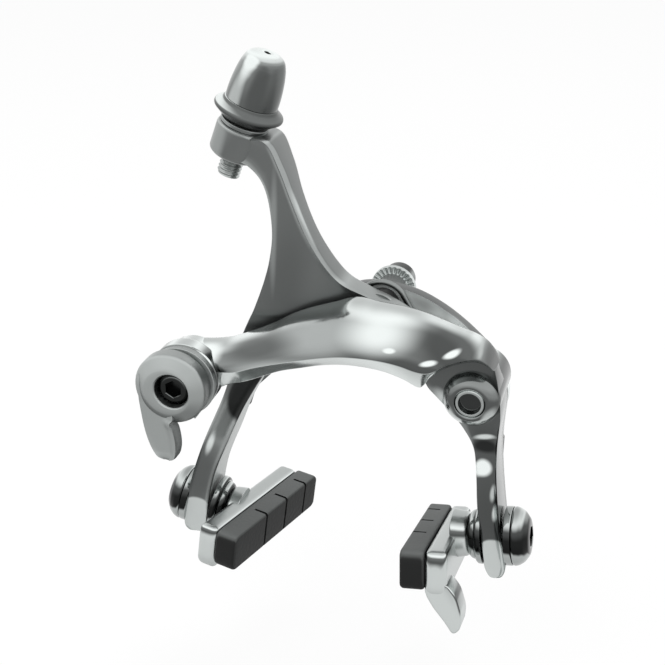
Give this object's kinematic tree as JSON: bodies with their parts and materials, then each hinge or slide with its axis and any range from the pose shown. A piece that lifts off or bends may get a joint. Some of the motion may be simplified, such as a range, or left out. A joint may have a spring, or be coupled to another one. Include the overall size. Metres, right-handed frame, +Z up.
{
  "type": "caliper brake",
  "caption": "Dual-pivot side-pull rim brake caliper with two polished arms, cable adjuster, quick-release lever and two brake shoes.",
  "frame": {"origin": "centre of the mounting bolt where the brake seats on the frame, on the toothed washer's back face", "axes": "Y along the mounting bolt, with -Y towards the front of the bicycle; +Z up; +X to the right seen from the front"},
  "size_m": [0.1013, 0.0548, 0.1399],
  "materials": {
    "arm_polished": "polished",
    "lever_satin": "satin",
    "holder_satin": "satin",
    "chrome_nut": "polished",
    "steel_bright": "brushed",
    "nut_dark": "dark",
    "washer_zinc": "zinc plated",
    "bolt_black": "black oxide",
    "plastic_black": "matte",
    "pad_rubber": "matte"
  },
  "bodies": {
    "mounting": {"mounting_bolt": "steel_bright", "mounting_nut": "nut_dark", "toothed_washer": "washer_zinc", "bridge_plate": "arm_polished", "centre_bush": "plastic_black", "centre_washer": "steel_bright", "centre_lock_nut": "steel_bright", "side_pivot_screw": "steel_bright", "side_bush": "plastic_black", "return_spring": "steel_bright"},
    "y_arm": {"y_arm": "arm_polished", "left_spring_slider": "plastic_black", "centring_screw": "steel_bright", "left_shoe_nut": "chrome_nut", "left_outer_washer": "chrome_nut", "left_shoe_stud": "steel_bright", "left_inner_washer": "chrome_nut", "left_domed_washer": "chrome_nut", "left_shoe_holder": "holder_satin", "left_brake_pad": "pad_rubber"},
    "c_arm": {"c_arm": "arm_polished", "right_spring_slider": "plastic_black", "anchor_bolt": "bolt_black", "anchor_washer": "lever_satin", "cable_clamp": "lever_satin", "anchor_nut": "steel_bright", "right_shoe_nut": "chrome_nut", "right_outer_washer": "chrome_nut", "right_shoe_stud": "steel_bright", "right_inner_washer": "chrome_nut", "right_domed_washer": "chrome_nut", "right_shoe_holder": "holder_satin", "right_brake_pad": "pad_rubber"},
    "qr_lever": {"qr_lever": "lever_satin"},
    "adjuster_seat": {"adjuster_washer": "arm_polished"},
    "adjuster": {"adjuster_barrel": "steel_bright", "adjuster_cap": "arm_polished", "adjuster_ring": "arm_polished"}
  },
  "joints": [
    {"name": "c_arm_pivot", "type": "hinge", "parent": "mounting", "child": "c_arm", "pos_m": [0.0266, 0, -0.0154], "axis": [0, 1, 0], "range_deg": [0, 12], "stiffness_Nm_per_rad": 1.2, "springref_deg": -22.92},
    {"name": "y_arm_pivot", "type": "hinge", "parent": "mounting", "child": "y_arm", "pos_m": [0, 0, 0], "axis": [0, -1, 0], "range_deg": [0, 8.6]},
    {"name": "qr_lever_turn", "type": "hinge", "parent": "c_arm", "child": "qr_lever", "pos_m": [-0.0458, 0, -0.0162], "axis": [0, 1, 0], "range_deg": [0, 90]},
    {"name": "adjuster_slide", "type": "slide", "parent": "y_arm", "child": "adjuster_seat", "axis": [0.3453, 0, 0.9385], "range_m": [0, 0.004]},
    {"name": "adjuster_turn", "type": "hinge", "parent": "adjuster_seat", "child": "adjuster", "pos_m": [-0.03317, -0.0155, 0.04969], "axis": [0.3453, 0, 0.9385], "range_deg": [0, 1440]}
  ],
  "couplings": [
    {"joint": "y_arm_pivot", "follows": "c_arm_pivot", "ratio": 0.70513},
    {"joint": "adjuster_turn", "follows": "adjuster_slide", "rad_per_m": 6283.2}
  ]
}
